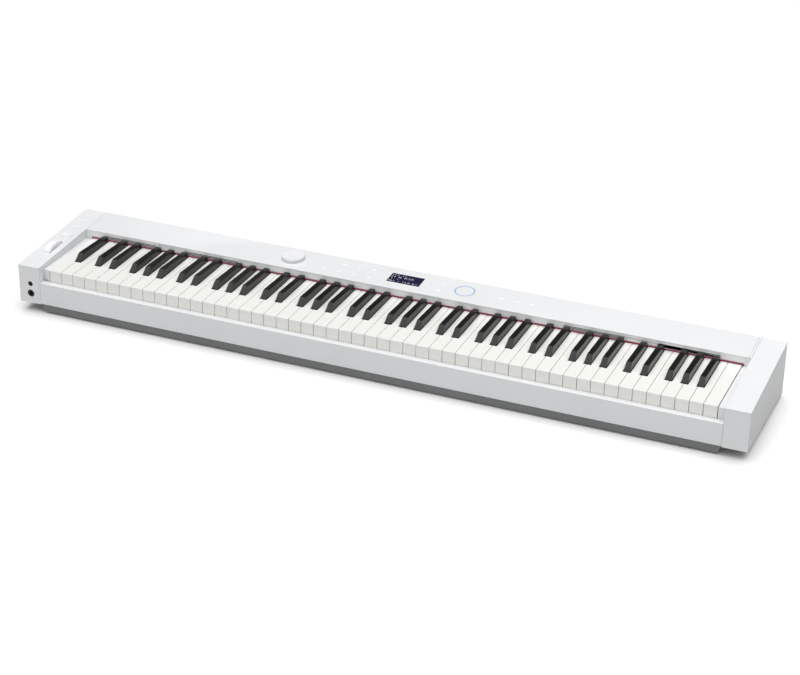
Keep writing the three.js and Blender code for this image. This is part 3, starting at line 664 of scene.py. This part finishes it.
def make_knob():
    """The volume knob: a low disc with a rounded rim, a slightly dished top and a stem."""
    rim = 0.9 * MM
    dish = 0.35 * MM
    dish_radius = KNOB_RADIUS - 2.2 * MM
    stem_radius = 3 * MM
    stem_end = -6.3 * MM
    profile = [(0, KNOB_HEIGHT - dish)]
    dish_steps = 5
    for step in range(1, dish_steps + 1):
        share = step / dish_steps
        profile.append((dish_radius * share, KNOB_HEIGHT - dish * (1 - share ** 2)))
    rim_steps = 6
    for step in range(rim_steps + 1):
        turn = math.pi / 2 * (1 - step / rim_steps)
        profile.append((
            KNOB_RADIUS - rim + rim * math.cos(turn),
            KNOB_HEIGHT - rim + rim * math.sin(turn),
        ))
    profile += [
        (KNOB_RADIUS, KNOB_BASE + 0.5 * MM), (KNOB_RADIUS - 0.4 * MM, KNOB_BASE),
        (stem_radius, KNOB_BASE), (stem_radius, stem_end), (0, stem_end),
    ]
    bm = bmesh.new()
    add_lathe(bm, profile, deck_frame(DECK_POINT.x, DECK_POINT.y), 128)
    obj = new_object("knob_cap", bm, FINISHES["control_white"])
    obj.data.set_sharp_from_angle(angle=math.radians(50))
    settle(obj, "control_white", "volume_knob", "volume_knob")


def make_display():
    """The display's glass, and rows of lit marks that stand for its readings."""
    cover("display_window", 0.15 * MM, 2)
    rng = random.Random(11)
    place = deck_frame_of("display_window")
    bm = bmesh.new()
    for middle, height, first, last in GLYPH_ROWS:
        x = first
        while x < last:
            wide = height * rng.uniform(*GLYPH_WIDTHS)
            if rng.random() < GLYPH_SHARE:
                add_glyph(bm, place, x, middle, wide, height, rng)
            x += wide + rng.choice(GLYPH_GAPS)
    obj = new_object("display_marks", bm, GLYPH_FINISH)
    settle(obj, "display_dark", "root")


def add_glyph(bm, place, x, middle, wide, height, rng):
    """A glyph, in millimetres: an upright and two short bars beside it."""
    stroke = GLYPH_STROKE
    low, high = -0.04 * MM, 0.0
    strokes = [(x, middle, stroke, height)]
    for level in rng.sample((-0.5, 0, 0.5), 2):
        bar_y = middle + level * (height - stroke)
        strokes.append((x + wide / 2 + stroke / 2, bar_y, wide - stroke / 2, stroke))
    for centre_x, centre_y, width, depth in strokes:
        left, right = centre_x - width / 2, centre_x + width / 2
        front, rear = centre_y - depth / 2, centre_y + depth / 2
        corners = ((left, front), (right, front), (right, rear), (left, rear))
        add_slab(bm, [(px * MM, py * MM) for px, py in corners], low, high, place)


def make_touch_marks():
    """The touch marks printed on the top panel."""
    bm = bmesh.new()
    wide, deep = TOUCH_MARK
    for y, xs in TOUCH_ROWS:
        for x in xs:
            outline = rounded_outline(wide, deep, deep * 0.48)
            add_slab(bm, outline, -0.1 * MM, 0.03 * MM, deck_frame(x * MM, y * MM))
    obj = new_object("panel_touch_marks", bm, MARK_FINISH)
    settle(obj, "panel_gloss", "root")


def make_ring():
    """The light ring: a flush annulus with a softly rounded face."""
    low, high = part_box("touch_ring")
    outer = (high.x - low.x) / 2
    inner = outer - 1.1 * MM
    top = -0.02 * MM
    bottom = -0.9 * MM
    edge = 0.15 * MM
    drop = 0.12 * MM
    profile = [
        (outer, bottom), (outer, top - drop), (outer - edge, top),
        (inner + edge, top), (inner, top - drop), (inner, bottom),
    ]
    bm = bmesh.new()
    add_lathe(bm, profile, deck_frame_of("touch_ring"), 128)
    obj = new_object("light_ring", bm, FINISHES["ring_blue"])
    settle(obj, "ring_blue", "root", "touch_ring")


# ---- Controls on the left end block ----

# The outlines that make up each round button's icon.
POWER_ICON = (
    arc_band(2.4 * MM, 0.6 * MM, 125, 415),
    [(-0.3 * MM, 0.7 * MM), (0.3 * MM, 0.7 * MM), (0.3 * MM, 3.4 * MM), (-0.3 * MM, 3.4 * MM)],
)
ARROW_ICON = (
    [(-2.6 * MM, 1.5 * MM), (-2.0 * MM, 2.1 * MM), (0.4 * MM, 0), (-0.2 * MM, -0.6 * MM)],
    [(2.6 * MM, 1.5 * MM), (0.2 * MM, -0.6 * MM), (-0.4 * MM, 0), (2.0 * MM, 2.1 * MM)],
    [(-0.3 * MM, -2.8 * MM), (0.3 * MM, -2.8 * MM), (0.3 * MM, -0.3 * MM), (-0.3 * MM, -0.3 * MM)],
)


def make_round_button(node, icon):
    """A round cap with a raised rim, a shallow dish and a printed icon."""
    crown = BUTTON_PROUD
    flange_radius = BUTTON_RADIUS + 1.1 * MM
    profile = [
        (0, crown - 0.5 * MM), (BUTTON_RADIUS * 0.4, crown - 0.44 * MM),
        (BUTTON_RADIUS * 0.72, crown - 0.2 * MM), (BUTTON_RADIUS * 0.86, crown),
        (BUTTON_RADIUS - 0.35 * MM, crown - 0.05 * MM), (BUTTON_RADIUS, crown - 0.4 * MM),
        (BUTTON_RADIUS, -BUTTON_SIDE), (flange_radius, -BUTTON_SIDE),
        (flange_radius, -BUTTON_DEPTH), (0, -BUTTON_DEPTH),
    ]
    place = deck_frame_of(node)
    bm = bmesh.new()
    add_lathe(bm, profile, place, 64)
    obj = new_object(node + "_cap", bm, BUTTON_HIGHLIGHT_FINISH)
    obj.data.set_sharp_from_angle(angle=math.radians(50))
    settle(obj, "control_white", node, node)
    bm = bmesh.new()
    for outline in icon:
        add_slab(bm, outline, crown - 0.6 * MM, crown - 0.38 * MM, place)
    settle(new_object(node + "_icon", bm, ICON_FINISH), "control_white", node)


def make_wide_button(node):
    """A wide cap with round corners, a shallow sunk top and a printed corner mark."""
    wide, deep = WIDE_BUTTON
    corner = 1.6 * MM
    rim = 1.5 * MM
    dish = 0.2 * MM
    place = deck_frame_of(node)
    bm = bmesh.new()
    add_slab(bm, rounded_outline(wide, deep, corner), -BUTTON_SIDE, BUTTON_PROUD, place)
    bmesh.ops.recalc_face_normals(bm, faces=bm.faces)
    top = max(bm.faces, key=lambda face: face.calc_center_median().z)
    bmesh.ops.inset_region(bm, faces=[top], thickness=rim, depth=-dish)
    obj = soften(new_object(node + "_cap", bm, BUTTON_HIGHLIGHT_FINISH), 0.3 * MM)
    settle(obj, "control_white", node, node)
    bm = bmesh.new()
    bar = 0.7 * MM
    round_end = bar * 0.48
    across = rounded_outline(9 * MM, bar, round_end, 3, (0, 2.5 * MM))
    along = rounded_outline(bar, 5 * MM, round_end, 3, (4.5 * MM, 0))
    for outline in (across, along):
        add_slab(bm, outline, BUTTON_PROUD - 0.3 * MM, BUTTON_PROUD - 0.15 * MM, place)
    settle(new_object(node + "_icon", bm, ICON_FINISH), "control_white", node)


def make_wheel():
    """The pitch wheel: a round-shouldered tyre with a thumb groove across the top of its rim."""
    centre = Vector(JOINTS["pitch_wheel_turn"]["pos_m"])
    half = WHEEL_WIDTH / 2
    shoulder = 1.6 * MM
    groove_depth = 2.2 * MM
    groove_half = 3.6 * MM
    # The lathe's Z axis lies along X, and its X axis points up, so the groove is at angle 0.
    on_edge = Matrix.Translation(centre) @ Matrix.Rotation(math.pi / 2, 4, "Y")
    place = on_edge @ Matrix.Rotation(math.pi, 4, "Z")

    def groove(turn, radius):
        along = WHEEL_RADIUS * math.atan2(math.sin(turn), math.cos(turn))
        near_rim = radius > WHEEL_RADIUS - shoulder - 1e-6
        return groove_depth * math.exp(-((along / groove_half) ** 2)) if near_rim else 0

    sunk = -half + 1 * MM
    profile = [(WHEEL_BORE, sunk), (12 * MM, sunk), (13 * MM, -half), (24 * MM, -half)]
    steps = 6
    for step in range(steps + 1):
        turn = -math.pi / 2 * (1 - step / steps)
        profile.append((
            WHEEL_RADIUS - shoulder + shoulder * math.cos(turn),
            -half + shoulder + shoulder * math.sin(turn),
        ))
    profile += [(radius, -height) for radius, height in reversed(profile)]
    bm = bmesh.new()
    add_lathe(bm, profile, place, 192, groove)
    # The tyre takes the wheel finish with its painted glow.
    obj = new_object("pitch_wheel_tyre", bm, WHEEL_GLOW_FINISH)
    obj.data.set_sharp_from_angle(angle=math.radians(50))
    settle(obj, "control_white", "pitch_wheel", "pitch_wheel")


def make_wheel_well():
    """The curved floor moulded under the wheel's slot, which closes the gaps before and behind the wheel."""
    centre = Vector(JOINTS["pitch_wheel_turn"]["pos_m"])
    radius = WHEEL_RADIUS + 1.6 * MM
    thick = 1 * MM
    half = WHEEL_SLOT_WIDTH / 2 + 0.2 * MM
    steps = 40
    start, end = 47, 115             # degrees from straight up
    bm = bmesh.new()
    for side in (-1, 1):
        rings = []
        for step in range(steps + 1):
            turn = math.radians(90 + side * (start + (end - start) * step / steps))
            ring = []
            for r, x in ((radius, -half), (radius, half), (radius + thick, half), (radius + thick, -half)):
                ring.append((centre.x + x, centre.y + r * math.cos(turn), centre.z + r * math.sin(turn)))
            rings.append(add_ring(bm, ring))
        for first, second in zip(rings, rings[1:]):
            join_rings(bm, first, second)
        bm.faces.new(rings[0][::-1])
        bm.faces.new(rings[-1])
    obj = new_object("wheel_well", bm, FINISHES["casing_white"])
    obj.data.set_sharp_from_angle(angle=math.radians(40))
    settle(obj, "casing_white", "root")


# ---- Sockets ----


def make_sockets():
    """Each jack's bush, with a moulded rim round the hole in the casing, in a lighter white that is a painted
    highlight.
    """
    front_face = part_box("key_slip")[0].y
    rear_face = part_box("rear_panel")[1].y - 0.35 * MM
    wall = 1.2 * MM
    depth = 1.2 * MM
    bm = bmesh.new()
    for node in ("headphone_jack_small", "headphone_jack_large", "pedal_jack", "line_out_jack", "dc_inlet"):
        cover(node, 0.25 * MM)
        low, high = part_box(node)
        front = low.y < 0
        centre = (low + high) / 2
        inner = (high.x - low.x) / 2 - wall + 0.02 * MM
        face = front_face if front else rear_face
        turn = math.pi / 2 if front else -math.pi / 2
        place = Matrix.Translation((centre.x, face, centre.z)) @ Matrix.Rotation(turn, 4, "X")
        add_lathe(bm, [
            (inner, -depth), (inner, -0.3 * MM), (inner + 0.3 * MM, 0.2 * MM),
            (inner + 0.7 * MM, 0.32 * MM), (inner + 1.1 * MM, 0.2 * MM), (inner + 1.4 * MM, -0.1 * MM),
            (inner + 0.24 * MM, -0.12 * MM), (inner + 0.24 * MM, -depth),
        ], place, 48)
    settle(new_object("socket_rims", bm, RIM_HIGHLIGHT_FINISH), "casing_white", "root")
    cover("usb_port", 0.2 * MM, 2)


# ---- Keys ----


def make_keys():
    """Every key and comb of keys. The black keys have the rounder edges."""
    for node in frame["nodes"]:
        slot = slot_of(node)
        if slot == "key_white":
            cover(node, 0.35 * MM)
        elif slot == "key_black":
            cover(node, 0.5 * MM)


# ---- Works inside ----


def finish_hidden_nodes():
    """Gives the nodes that keep their CAD shape their slot's finish."""
    for node in ("keybed_frame", "key_pivot_rail", "speaker_left", "speaker_right", "main_board",
                 "knob_encoder", "wheel_axle"):
        obj = frame["nodes"][node]
        obj.data.materials.clear()
        obj.data.materials.append(FINISHES[slot_of(node)])


# ---- Stage ----


def seen_apart(nodes, links, lit, seen):
    """Mixes two shaders: the camera sees the second, and all other light meets the first."""
    mix = nodes.new("ShaderNodeMixShader")
    links.new(nodes.new("ShaderNodeLightPath").outputs["Is Camera Ray"], mix.inputs["Fac"])
    links.new(lit, mix.inputs[1])
    links.new(seen, mix.inputs[2])
    return mix.outputs["Shader"]


def make_floor():
    """A white floor that gives back less light than it shows, so the casing's fronts stay in soft shade."""
    bm = bmesh.new()
    bmesh.ops.create_grid(bm, x_segments=1, y_segments=1, size=FLOOR_SIZE)
    material = bpy.data.materials.new("studio_floor")
    nodes, links = empty_tree(material)
    faces = []
    for white in (FLOOR_BOUNCE, FLOOR_WHITE):
        face = nodes.new("ShaderNodeBsdfDiffuse")
        face.inputs["Color"].default_value = (white, white, white, 1)
        faces.append(face.outputs["BSDF"])
    output = nodes.new("ShaderNodeOutputMaterial")
    links.new(seen_apart(nodes, links, *faces), output.inputs["Surface"])
    floor = new_object("studio_floor", bm, material)
    floor.location.z = -FLOOR_DROP


def make_world():
    """A soft cap of light overhead and a pale wall of light in front, with a dim sky behind.

    The camera sees a plain white backdrop in their place.
    """
    world = bpy.data.worlds.new("studio")
    bpy.context.scene.world = world
    nodes, links = empty_tree(world)
    split = nodes.new("ShaderNodeSeparateXYZ")
    links.new(nodes.new("ShaderNodeTexCoord").outputs["Generated"], split.inputs["Vector"])

    def fade(axis, edge, to_low, to_high):
        node = nodes.new("ShaderNodeMapRange")
        node.interpolation_type = "SMOOTHSTEP"
        node.inputs["From Min"].default_value = edge[0]
        node.inputs["From Max"].default_value = edge[1]
        node.inputs["To Min"].default_value = to_low
        node.inputs["To Max"].default_value = to_high
        links.new(split.outputs[axis], node.inputs["Value"])
        return node.outputs["Result"]

    def combine(operation, first, second):
        node = nodes.new("ShaderNodeMath")
        node.operation = operation
        links.new(first, node.inputs[0])
        links.new(second, node.inputs[1])
        return node.outputs["Value"]

    cap = fade("Z", CAP_FADE_Z, SKY_DIM, CAP_LIGHT)
    wall = combine("MULTIPLY", fade("Y", WALL_FADE_Y, WALL_LIGHT, 0), fade("Z", WALL_FADE_Z, 1, 0))
    dome = nodes.new("ShaderNodeBackground")
    links.new(combine("ADD", cap, wall), dome.inputs["Strength"])
    backdrop = nodes.new("ShaderNodeBackground")
    backdrop.inputs["Color"].default_value = (BACKDROP_WHITE, BACKDROP_WHITE, BACKDROP_WHITE, 1)
    shown = seen_apart(nodes, links, dome.outputs["Background"], backdrop.outputs["Background"])
    output = nodes.new("ShaderNodeOutputWorld")
    links.new(shown, output.inputs["Surface"])


def make_end_light():
    """A small soft light above the right end of the casing."""
    data = bpy.data.lights.new("end_light", "AREA")
    data.shape = "RECTANGLE"
    data.size = END_LIGHT_SIZE
    data.size_y = END_LIGHT_SIZE
    data.energy = END_LIGHT_POWER
    light = bpy.data.objects.new("end_light", data)
    place = Vector(END_LIGHT_PLACE)
    light.location = place
    light.rotation_mode = "QUATERNION"
    light.rotation_quaternion = (Vector(END_LIGHT_AIM) - place).to_track_quat("-Z", "Y")
    bpy.context.scene.collection.objects.link(light)


def make_reflector():
    """A card behind the piano that the glossy panel mirrors: bright at its right end, fading to the left."""
    bm = bmesh.new()
    bm.faces.new([bm.verts.new(corner) for corner in CARD])
    material = bpy.data.materials.new("reflector_card")
    nodes, links = empty_tree(material)
    split = nodes.new("ShaderNodeSeparateXYZ")
    links.new(nodes.new("ShaderNodeTexCoord").outputs["Object"], split.inputs["Vector"])
    fade = nodes.new("ShaderNodeMapRange")
    fade.inputs["From Min"].default_value = CARD[0][0]
    fade.inputs["From Max"].default_value = CARD[1][0]
    fade.inputs["To Max"].default_value = CARD_LIGHT
    links.new(split.outputs["X"], fade.inputs["Value"])
    glow = nodes.new("ShaderNodeEmission")
    links.new(fade.outputs["Result"], glow.inputs["Strength"])
    output = nodes.new("ShaderNodeOutputMaterial")
    links.new(glow.outputs["Emission"], output.inputs["Surface"])
    card = new_object("reflector_card", bm, material)
    card.visible_camera = False
    card.visible_diffuse = False
    card.visible_shadow = False


def make_camera():
    """The camera at its place, turned by its azimuth, elevation and roll."""
    azimuth = math.radians(CAMERA_AZIMUTH)
    elevation = math.radians(CAMERA_ELEVATION)
    forward = Vector((
        -math.sin(azimuth) * math.cos(elevation),
        math.cos(azimuth) * math.cos(elevation),
        -math.sin(elevation),
    ))
    level = Vector((math.cos(azimuth), math.sin(azimuth), 0))
    upright = level.cross(forward)
    roll = math.radians(CAMERA_ROLL)
    right = level * math.cos(roll) + upright * math.sin(roll)
    up = upright * math.cos(roll) - level * math.sin(roll)
    turn = Matrix((right, up, -forward)).transposed()
    data = bpy.data.cameras.new("camera")
    data.sensor_width = SENSOR_WIDTH
    data.lens = CAMERA_LENS
    camera = bpy.data.objects.new("camera", data)
    camera.matrix_world = Matrix.Translation(CAMERA_PLACE) @ turn.to_4x4()
    bpy.context.scene.collection.objects.link(camera)
    bpy.context.scene.camera = camera


make_camera()
make_world()
make_floor()
make_end_light()
make_reflector()
bpy.context.scene.view_settings.view_transform = "Standard"

make_casing()
make_lid_seams()
make_screws()
make_felt()
for side in ("left", "right"):
    make_cloth(side)
make_knob()
make_display()
make_touch_marks()
make_ring()
make_round_button("power_button", POWER_ICON)
make_round_button("control_button_1", ARROW_ICON)
make_wide_button("control_button_2")
make_wheel()
make_wheel_well()
make_sockets()
make_keys()
finish_hidden_nodes()
